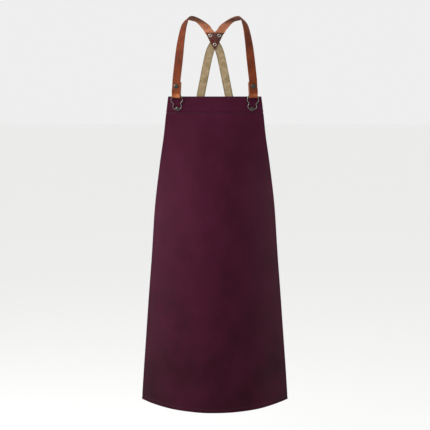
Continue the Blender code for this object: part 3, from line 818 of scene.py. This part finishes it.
        seam, hem = -self.facing_drop + self.seam_up, -FORM.hem_drop + self.bottom_hem
        rows = [row(seam), row(-self.top_row), row(hem), *map(edge, Side)]
        through = 2 * self.thickness + 2 * self.layer_gap
        for path in rows:
            run.sew(bm, path)
            run.sew(bm, [(spot - out * through, -out) for spot, out in path])
        return add_piece("hem_stitching", bm, [self.finishes.thread], "apron")

    def build(self) -> None:
        """Makes the cloth, its hems, its facing and its stitching."""
        heights = self.heights()

        def whole(u: float, z: float) -> float:
            return self.across_share(u) * FORM.half_width(z)

        panel = self.patch("apron_cloth", whole, heights, self.columns, 0.0)
        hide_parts("apron_panel")
        hems = self.turned_edges()
        band = [-self.facing_drop * k / 12 for k in range(13)]
        facing = self.patch("facing_cloth", self.inside(0.0006), band, self.columns,
                            self.thickness + self.layer_gap, 0.0001)
        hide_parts("bib_facing")
        sewn = self.stitching()
        widths = [2 * FORM.flat_half_width(-FORM.hem_drop * k / 60) for k in range(61)]
        area = sum((a + b) / 2 for a, b in zip(widths, widths[1:])) * FORM.hem_drop / 60


# ---- hardware at the bib


@dataclass
class BibFastening:
    """One side's clip, button, press stud and the frames that they are set in."""

    side: Side
    finishes: Finishes
    leather: float = 0.0024
    fold_inner: float = 0.0038
    wire: float = 0.0013
    neck: float = 0.0026
    slack: float = 0.0004  # between the clip's wire and the button's neck
    wire_gap: float = 0.0006  # between the clip's wire and the cloth
    strap_gap: float = 0.0005  # between the folded strap and the cloth
    snap_height: float = 0.0285
    lean_deg: float = 3.0
    button_at: tuple[float, float] = (0.1117, -0.0370)
    bar_at: tuple[float, float] = (0.1135, 0.0015)
    cloth: float = 0.0012
    facing_gap: float = 0.0009

    @property
    def fold_radius(self) -> float:
        """Radius of the leather's middle where it turns round the clip's bar."""
        return self.fold_inner + self.leather / 2

    def bar_frame(self) -> Matrix:
        """At the middle of the clip's top bar: +Y into the body, +Z up the leaning strap."""
        x = self.side.value * self.bar_at[0]
        outward = FORM.outward(x, 0.0)
        outward.z = 0
        outward.normalize()
        origin = FORM.front(x, 0.0) + outward * (self.fold_inner + self.leather + self.strap_gap)
        origin.z += self.bar_at[1]
        lean = Matrix.Rotation(self.side.value * math.radians(self.lean_deg), 3, outward)
        return frame_matrix(origin, -outward, lean @ Vector((0, 0, 1)))

    def button_frame(self) -> Matrix:
        """At the front of the cloth under the button: +Y into the body."""
        x, z = self.side.value * self.button_at[0], self.button_at[1]
        return frame_matrix(FORM.front(x, z), -FORM.outward(x, z), Vector((0, 0, 1)))

    def hooked_point(self) -> Vector:
        """Where the clip's wire passes the button's neck, in front of the cloth."""
        return self.button_frame() @ Vector((0, -(self.wire + self.wire_gap), 0))

    def clip_frame(self) -> Matrix:
        """At the middle of the clip's top bar, with -Z down to the button's neck."""
        top = self.bar_frame().to_translation()
        inward = self.button_frame().to_3x3() @ Vector((0, 1, 0))
        return frame_matrix(top, inward, top - self.hooked_point())

    def build_clip(self) -> None:
        """A figure of eight in spring wire, wide for the strap and waisted above the button."""
        to_neck = (self.bar_frame().to_translation() - self.hooked_point()).length
        drop = to_neck + self.neck + self.slack + self.wire
        half = tenths(0.0, (0, 0), (125, 0), (148, -12), (158, -45), (170, -85), (177, -125), (166, -165),
                      (136, -200), (113, -230), (117, -265), (133, -300), (136, -333))
        half += tenths(-drop, (117, 62), (88, 45), (66, 30), (45, 8), (20, 0), (0, 0))
        right = smooth_path([Vector((x, 0, z)) for x, z in half], 7)
        outline = [(p.x, p.z) for p in right] + [(-p.x, p.z) for p in reversed(right[1:-1])]
        name = f"{self.side.label}_clip"
        bm = swept_wire(outline, self.wire, self.clip_frame())
        add_piece(f"{name}_wire", bm, [self.finishes.wire], f"{self.side.label}_hook", name)

    def turn_piece(self, node: str, place: Matrix, slot: str, profile: Profile, body: str = "apron") -> None:
        """Turns one round pressing and puts it in place of its CAD node."""
        label = f"{self.side.label}_{node}"
        material = self.finishes.gunmetal if slot == "gunmetal" else self.finishes.nickel
        add_piece(f"{label}_turned", turned(profile, place), [material], body, label)

    def build_button(self) -> None:
        """The bib button with a low domed head, and the tack behind the cloth."""
        place, head = self.button_frame(), -(2 * self.wire + 0.0011)
        back = 2 * self.cloth + self.facing_gap + GAP
        face = back + GAP
        self.turn_piece("bib_button", place, "gunmetal", [
            *tenths(head, (0, -27), (12, -26.8), (24, -25), (35, -22), (45, -17.6), (53, -13), (59, -9),
                    (62, -6), (61, -2), (56, 0)),
            (self.neck, head), (self.neck, back), (0.0014, back), *tenths(head, (14, 10), (0, 10)),
        ])
        self.turn_piece("button_tack", place, "nickel", tenths(head, (0, 16), (10, 16)) + tenths(
            face, (10, 0), (52, 0), (55, 3), (55, 7), (48, 10), (22, 11), (16, 8), (0, 8)))

    def build_snap(self) -> None:
        """Cap and socket on the strap's front layer, stud and post on its doubled end."""
        place = self.bar_frame() @ Matrix.Translation((0, 0, self.snap_height))
        outer, inner = self.fold_radius + self.leather / 2, self.fold_inner - GAP
        tail = f"{self.side.label}_tail"
        dome = [(0.0075 * math.sin(a), -outer - 0.0007 - 0.0024 * math.cos(a) ** 0.9)
                for a in (math.radians(8 * k) for k in range(11))]
        rim = tenths(-outer, (77, -8), (76, -2), (72, 0), (15, 0)) + tenths(-inner, (15, 5), (0, 5))
        self.turn_piece("snap_cap", place, "gunmetal", dome + rim)
        self.turn_piece("snap_socket", place, "nickel", tenths(
            -inner, (20, 0), (60, 0), (61, 10), (56, 36), (50, 39), (42, 38), (38, 33), (39, 10), (20, 10)))
        self.turn_piece("snap_stud", place, "nickel", tenths(
            inner, (0, -48), (14, -48), (22, -45), (26, -38), (25, -30), (21, -22), (22, -13), (50, -10),
            (56, -5), (56, 0), (14, 0), (14, -26), (0, -26)), tail)
        self.turn_piece("snap_post", place, "nickel", tenths(inner, (0, -21), (10, -21)) + tenths(
            outer, (10, 0), (50, 0), (55, 3), (54, 7), (46, 10), (22, 10), (14, 6), (0, 6)), tail)

    def build(self) -> None:
        """Makes this side's fastening."""
        self.build_clip()
        self.build_button()
        self.build_snap()


# ---- leather straps and the cross patch


@dataclass(frozen=True)
class CrossPatchForm:
    """Where the triangle lies, and its rivets."""

    middle: tuple[float, float, float] = (0.0, 0.200, 0.178)
    slope: tuple[float, float] = (0.93, 0.367)
    corner: tuple[float, float] = (0.0282, 0.0226)
    tip: float = -0.0333
    rivets: tuple[tuple[float, float], ...] = ((-0.0139, 0.0144), (0.0139, 0.0144), (0.0, -0.0156))

    def place(self) -> Matrix:
        """At the patch's middle: +Y out of the wearer's back, +Z up the patch."""
        outward = Vector((0, *self.slope)).normalized()
        up = Vector((0, -self.slope[1], self.slope[0])).normalized()
        return frame_matrix(FORM.point(*self.middle), outward, up)


PATCH = CrossPatchForm()


@dataclass
class ShoulderStrap:
    """One leather strap, from its doubled end over the shoulder to the cross patch."""

    fastening: BibFastening
    finishes: Finishes
    width: float = 0.025
    tail_length: float = 0.046
    fold_bow: float = 0.0022  # how far the front layer springs forward between the clip and the stud
    pared: float = 0.0005  # radius of the cut edges
    tip: float = 0.006  # how far the doubled end's corners are cut back
    bend: float = 0.014  # how much of the doubled end bends as it opens

    def fold(self) -> list[Station]:
        """The fold round the clip's bar and the straight front layer."""
        place, radius, found = self.fastening.bar_frame(), self.fastening.fold_radius, []
        for step in range(25):
            angle = math.pi * (1 - step / 24)
            face = Vector((0, -math.cos(angle), -math.sin(angle)))
            found.append(carried(place, face * radius, face))
        snap = self.fastening.snap_height
        for k in range(1, 25):
            height = (self.tail_length + 0.002) * k / 24
            bow = self.fold_bow * math.sin(math.pi * height / snap) ** 2 if height < snap else 0.0
            found.append(carried(place, Vector((0, -radius - bow, height)), Vector((0, -1, 0))))
        return found

    def route(self) -> Route:
        """Points and facings over the chest, the shoulder and down to the patch."""
        sign, patch = self.fastening.side.value, PATCH.place()
        spots, faces = mirrored_route(
            sign,
            ((0.1078, 0.0120, 0.1089), (0.21, -0.93, 0.31)),
            ((0.1038, 0.0300, 0.1493), (0.39, -0.80, 0.46)),
            ((0.0997, 0.0490, 0.1806), (0.54, -0.66, 0.52)),
            ((0.0957, 0.0670, 0.2041), (0.62, -0.52, 0.58)),
            ((0.0914, 0.0840, 0.2210), (0.65, -0.38, 0.66)),
            ((0.0872, 0.1020, 0.2329), (0.70, -0.10, 0.71)),
            ((0.0784, 0.1200, 0.2396), (0.42, 0.12, 0.90)),
            ((0.0644, 0.1400, 0.2383), (0.15, 0.28, 0.95)),
            ((0.0462, 0.1620, 0.2314), (-0.13, 0.40, 0.91)),
            ((0.0257, 0.1857, 0.2136), (-0.03, 0.83, 0.55)),
        )
        for x, z in ((0.0187, 0.0265), (0.0020, 0.0080), (-0.012, -0.0074)):
            spots.append(patch @ Vector((sign * x, 0, z)))
            faces.append(patch.to_3x3() @ Vector((0, 1, 0)))
        return spots, faces

    def build(self) -> None:
        """Makes the strap, and its doubled end as a piece of its own."""
        side, fold = self.fastening.side, self.fold()
        spots, faces = self.route()
        centres = smooth_path([fold[-1][0], *spots], 12)
        facing = smooth_path([fold[-1][1], *faces], 12)
        bm = ribbon_surface([*fold[:-1], *zip(centres, facing)], self.width, 6)
        cut_away(bm, *carried(PATCH.place(), Vector((side.value * GAP, 0, 0)), Vector((-side.value, 0, 0))))
        self.layer("front_strap", bm, "apron")
        self.build_tail()

    def layer(self, part: str, bm: bmesh.types.BMesh, body: str) -> bpy.types.Object:
        """One layer in place of its CAD node, grain outside and flesh inside, with pared edges."""
        name = f"{self.fastening.side.label}_{part}"
        leather = [self.finishes.grain, self.finishes.flesh, self.finishes.edge]
        made = add_piece(f"{name}_leather", bm, leather, body, name)
        thicken(made, self.fastening.leather, 0, (1, 2), self.pared)
        return made

    def build_tail(self) -> None:
        """The doubled end, which meets the fold at the clip's bar."""
        place, radius, count = self.fastening.bar_frame(), self.fastening.fold_radius, 30
        stations = [
            carried(place, Vector((0, radius, self.tail_length * (1 - k / count))), Vector((0, 1, 0)))
            for k in range(count + 1)
        ]
        tail = self.layer("strap_tail", ribbon_surface(stations, self.width, 8, self.tip), "")
        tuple(stations[-1][0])
        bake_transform(tail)


@dataclass
class CrossPatch:
    """Two leather triangles and three tubular rivets that clamp the straps."""

    finishes: Finishes
    leather: float = 0.0020
    strap: float = 0.0024
    # radius inside which a rivet's faces get painted shade
    bore: float = 0.0036
    bows: tuple[float, float] = (0.0016, 0.0006)  # how far the long sides and the top side bow out
    pared: float = 0.0006  # radius of the cut edges

    @property
    def reach(self) -> float:
        """From the straps' middle to the near face of either triangle."""
        return self.strap / 2 + GAP

    def triangle(self, name: str, near: float, far: float) -> None:
        """One triangle with rounded corners, bowed sides and a pared edge."""
        bm = bmesh.new()
        corners = [Vector((-PATCH.corner[0], PATCH.corner[1])), Vector((0, PATCH.tip)),
                   Vector((PATCH.corner[0], PATCH.corner[1]))]
        outline = []
        for a, b in zip(corners, corners[1:] + corners[:1]):
            out = Vector((b.y - a.y, a.x - b.x)).normalized()
            out = out if out.dot(a + b) > 0 else -out
            bow = self.bows[a.y == b.y]
            outline += [a.lerp(b, k / 14) + out * bow * 4 * k / 14 * (1 - k / 14) for k in range(14)]
        base = bm.faces.new([bm.verts.new((p.x, near, p.y)) for p in outline])
        moved = bmesh.ops.extrude_face_region(bm, geom=[base])["geom"]
        lifted = [item for item in moved if isinstance(item, bmesh.types.BMVert)]
        bmesh.ops.translate(bm, vec=(0, far - near, 0), verts=lifted)
        bmesh.ops.recalc_face_normals(bm, faces=bm.faces)
        rims = [e for e in bm.edges if abs(e.verts[0].co.y - e.verts[1].co.y) < 1e-6]
        bmesh.ops.bevel(bm, geom=rims, offset=self.pared, offset_type="OFFSET", affect="EDGES", segments=3,
                        profile=0.5, material=-1)
        bmesh.ops.transform(bm, matrix=PATCH.place(), verts=bm.verts)
        add_piece(f"{name}_leather", bm, [self.finishes.patch], "apron", name)

    def rivets(self) -> None:
        """A flared tubular eye against the wearer and a domed cap outside, three times."""
        face = self.reach + self.leather
        eye = tenths(-face, (25, -2), (28, -9), (34, -14), (42, -15), (50, -12), (56, -6), (56, 0), (30, 0))
        eye += tenths(face, (30, -4), (25, -4)) + tenths(-face, (25, 8))
        cap = tenths(face, (0, -24), (12, -24), (12, 0), (52, 0), (55, 3), (54, 7), (44, 13), (30, 17),
                     (15, 19), (0, 19.5))
        for label, (x, z) in zip(("left", "right", "lower"), PATCH.rivets):
            place = PATCH.place() @ Matrix.Translation((x, 0, z))
            for kind, profile in (("eye", eye), ("cap", cap)):
                name = f"{label}_rivet_{kind}"
                bm = turned(profile, place)
                self.darken_bore(bm, place)
                metals = [self.finishes.nickel, self.finishes.bore_shade]
                add_piece(f"{name}_turned", bm, metals, "apron", name)

    def darken_bore(self, bm: bmesh.types.BMesh, place: Matrix) -> None:
        """Gives what lies inside a rivet's tube a very dark metal: painted shade in the bore."""
        to_rivet = place.inverted()
        for face in bm.faces:
            spot = to_rivet @ face.calc_center_median()
            inside = math.hypot(spot.x, spot.z) < self.bore and abs(spot.y) < self.reach + self.leather
            face.material_index = int(inside)

    def build(self) -> None:
        """Makes the patch and its rivets."""
        self.triangle("patch_inner", -self.reach, -self.reach - self.leather)
        self.triangle("patch_outer", self.reach, self.reach + self.leather)
        self.rivets()


# ---- back straps of webbing


@dataclass
class BackStrap:
    """One side's webbing from the patch to the apron's edge, with its ring and slider."""

    side: Side
    finishes: Finishes
    width: float = 0.026
    thickness: float = 0.0018
    top: float = -0.0145  # where the cut end meets the middle line, just below the leather
    slant_deg: float = 48.0  # the cut end's lean
    turn_radius: float = 0.0033
    ring_drop: float = 0.016
    ring_wire: float = 0.0015
    pared: float = 0.0007  # radius of the woven edges
    bend: float = 0.014  # how much of the doubled end bends as the slider moves
    slider_rest: float = 0.060
    bar: tuple[float, float] = (0.0044, 0.0010)

    def ring_frame(self) -> Matrix:
        """On the webbing's middle line beside the ring's upper bar: +Z up the strap."""
        up = Vector((-self.side.value * 0.2, -0.065, 1)).normalized()
        return frame_matrix(FORM.point(self.side.value * 0.0706, 0.2400, -0.125), Vector((0, 1, 0)), up)

    def turn(self, start: float, stop: float, middle_z: float) -> list[Station]:
        """Webbing turning about a bar behind the strap's line, angles in degrees."""
        place, steps, found = self.ring_frame(), 20, []
        for step in range(steps + 1):
            angle = math.radians(start + (stop - start) * step / steps)
            face = Vector((0, math.cos(angle), math.sin(angle)))
            spot = Vector((0, self.turn_radius, middle_z)) + face * self.turn_radius
            found.append(carried(place, spot, face))
        return found

    def strap(self, name: str, stations: Sequence[Station], body: str,
              cuts: Sequence[Station] = ()) -> bpy.types.Object:
        """One length of webbing in place of its CAD node.

        Args:
            name: the node's name without its side.
            stations: where it passes.
            body: the body that it rides on, or an empty string for none.
            cuts: points and the directions beyond them that are cut away.

        Returns:
            The object.
        """
        bm = ribbon_surface(stations, self.width, 6)
        for spot, away in cuts:
            cut_away(bm, spot, away)
        label = f"{self.side.label}_{name}"
        obj = add_piece(f"{label}_tape", bm, [self.finishes.webbing], body, label)
        thicken(obj, self.thickness, 0, round_edge=self.pared)
        return obj

    def build_long_run(self) -> None:
        """From the patch straight down the back and round the ring's upper bar."""
        sign, patch, ring = self.side.value, PATCH.place(), self.ring_frame()
        outward = patch.to_3x3() @ Vector((0, 1, 0))
        back = ring.to_3x3() @ Vector((0, 1, 0))
        under_patch = ((-0.0075, 0.0035), (0.0004, -0.0096), (0.0118, -0.0300))
        spots = [patch @ Vector((sign * x, 0, z)) for x, z in under_patch]
        spots += [FORM.point(sign * 0.0187, 0.2185, 0.1300), FORM.point(sign * 0.0256, 0.2240, 0.1000)]
        centres = smooth_path(spots, 8) + [ring @ Vector((0, 0, 0.158 * (1 - k / 24))) for k in range(25)]
        facing = smooth_path([outward] * 3 + [outward.lerp(back, 0.6), back], 8) + [back] * 25
        around = [(centre, -face) for centre, face in self.turn(180, 360, 0.0)[1:]]
        slant = math.radians(self.slant_deg)
        cuts = [(Vector((sign * GAP, 0, 0)), Vector((-sign, 0, 0))),
                (Vector((0, 0, self.top)), Vector((-sign * math.sin(slant), 0, math.cos(slant))))]
        cuts = [carried(patch, *cut) for cut in cuts]
        self.strap("webbing", [*zip(centres, facing), *around], "apron", cuts)

    def build_return(self) -> None:
        """The doubled end, from the ring up round the slider's bar and a little way back down."""
        place, back = self.ring_frame(), Vector((0, 1, 0))
        wrap = self.bar[1] + GAP + self.thickness / 2
        top, outer = self.slider_rest, 2 * self.turn_radius
        local = [(Vector((0, outer, (top - 0.006) * k / 16)), back) for k in range(17)]
        for step in range(19):
            angle = math.pi * step / 18
            face = Vector((0, math.cos(angle), math.sin(angle)))
            local.append((Vector((0, self.bar[0], top)) + face * wrap, face))
        local += [(Vector((0, self.bar[0] - wrap, top - 0.004 * k)), -back) for k in (1, 2, 3)]
        stations = [carried(place, *station) for station in local]
        obj = self.strap("webbing_return", stations, "")
        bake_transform(obj)

    def build_side_run(self) -> None:
        """From the ring's lower bar round the waist to the inside of the apron's side edge."""
        sign, ring = self.side.value, self.ring_frame()
        back = ring.to_3x3() @ Vector((0, 1, 0))
        sewn = [(ring @ Vector((0, 2 * self.turn_radius, z - self.ring_drop)), back)
                for z in (-0.028, -0.021, -0.014, -0.007)]
        around = self.turn(0, 180, -self.ring_drop)
        spots, faces = mirrored_route(
            sign,
            ((0.0830, 0.2440, -0.185), (0.06, 1.0, 0.0)),
            ((0.1010, 0.2430, -0.225), (0.16, 0.98, 0.0)),
            ((0.1270, 0.2380, -0.264), (0.32, 0.94, 0.0)),
            ((0.1550, 0.2255, -0.298), (0.55, 0.83, 0.0)),
            ((0.1755, 0.2060, -0.322), (0.78, 0.60, 0.0)),
            ((0.1838, 0.1880, -0.334), (0.97, 0.15, 0.0)),
        )
        for x, z in ((0.1800, -0.340), (0.1720, -0.346)):
            outward = FORM.outward(sign * x, z)
            spots.append(FORM.front(sign * x, z) - outward * (0.0019 + self.thickness / 2))
            faces.append(outward)
        route = zip(smooth_path([around[-1][0], *spots], 12), smooth_path([back, *faces], 12))
        inside_out = [(centre, -face) for centre, face in route]
        self.strap("side_strap", sewn + around[:-1] + inside_out, "apron")

    def build_ring(self) -> None:
        """A rounded rectangle of wire between the two lengths of webbing."""
        half, corner, outline = 0.0155, 0.004, []
        low = corner - self.ring_drop
        for cx, cz, start in ((half - corner, -corner, 90), (half - corner, low, 0),
                              (corner - half, low, -90), (corner - half, -corner, -180)):
            for step in range(10):
                angle = math.radians(start - 90 * step / 9)
                outline.append((cx + corner * math.cos(angle), cz + corner * math.sin(angle)))
        place = self.ring_frame() @ Matrix.Translation((0, self.turn_radius, 0))
        bm = swept_wire(outline, self.ring_wire, place)
        name = f"{self.side.label}_strap_ring"
        add_piece(f"{name}_wire", bm, [self.finishes.wire], "apron", name)

    def dress_slider(self) -> None:
        """The slider's CAD shape stays, with plated metal on it."""
        for material_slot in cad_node(f"{self.side.label}_slider").material_slots:
            material_slot.material = self.finishes.nickel

    def build(self) -> None:
        """Makes this side's webbing and hardware."""
        self.build_long_run()
        self.build_return()
        self.build_side_run()
        self.build_ring()
        self.dress_slider()


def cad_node(name: str) -> bpy.types.Object:
    """The object of a CAD node."""
    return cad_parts[name]


# ---- stage, light and camera


@dataclass(frozen=True)
class Studio:
    """A pale floor far below the hem, soft light from the upper left, and the camera."""

    distance: float = 3.5
    down_deg: float = 5.82
    lens: float = 97.4
    aside: float = 0.0007
    floor_drop: float = 0.55
    room_light: float = 0.86

    def floor(self) -> None:
        """A plain pale floor that runs out of sight."""
        bm = bmesh.new()
        bmesh.ops.create_grid(bm, x_segments=1, y_segments=1, size=60)
        bmesh.ops.translate(bm, vec=(0, 0, CAD_BOX[0][2] - self.floor_drop), verts=bm.verts)
        mesh = bpy.data.meshes.new("floor")
        bm.to_mesh(mesh)
        bm.free()
        mesh.materials.append(Plain("pale_floor", 0.9).build())
        place_object("floor", mesh)

    def lamp(self, name: str, place: Vector, aim: Vector, size: float, watts: float) -> None:
        """A square soft box aimed at a point."""
        light = bpy.data.lights.new(name, "AREA")
        light.size, light.energy = size, watts
        obj = place_object(name, light)
        obj.location = place
        obj.rotation_euler = (aim - place).to_track_quat("-Z", "Y").to_euler()

    def light(self) -> None:
        """A bright, even room with a soft key from the upper left."""
        world = bpy.data.worlds.new("room")
        bpy.context.scene.world = world
        world.use_nodes = True
        back = world.node_tree.nodes["Background"]
        back.inputs["Color"].default_value = linear("FFFFFF")
        back.inputs["Strength"].default_value = self.room_light
        self.lamp("key", FORM.point(-2.3, -0.8, 1.0), FORM.point(0, 0.05, -0.10), 1.3, 62)
        self.lamp("top", FORM.point(-0.9, -2.3, 1.9), FORM.point(0, 0.05, 0.0), 0.8, 14)
        bpy.context.scene.view_settings.view_transform = "Standard"

    def camera(self) -> None:
        """Level with the bib's top edge, tilted down to take in the hem."""
        lens = bpy.data.cameras.new("camera")
        lens.lens, lens.sensor_width = self.lens, 36.0
        obj = place_object("camera", lens)
        obj.location = FORM.point(self.aside, -self.distance, 0.0)
        obj.rotation_euler = (math.radians(90 - self.down_deg), 0, 0)
        bpy.context.scene.camera = obj

    def build(self) -> None:
        """Sets the stage."""
        self.floor()
        self.light()
        self.camera()


def main() -> None:
    """Builds the stage and every sub-assembly in order."""
    logging.basicConfig(level=logging.INFO, format="%(name)s: %(message)s")
    Studio().build()
    finishes = Finishes()
    ApronCloth(finishes).build()
    for side in Side:
        fastening = BibFastening(side, finishes)
        fastening.build()
        ShoulderStrap(fastening, finishes).build()
        BackStrap(side, finishes).build()
    CrossPatch(finishes).build()


if __name__ == "__main__":
    main()
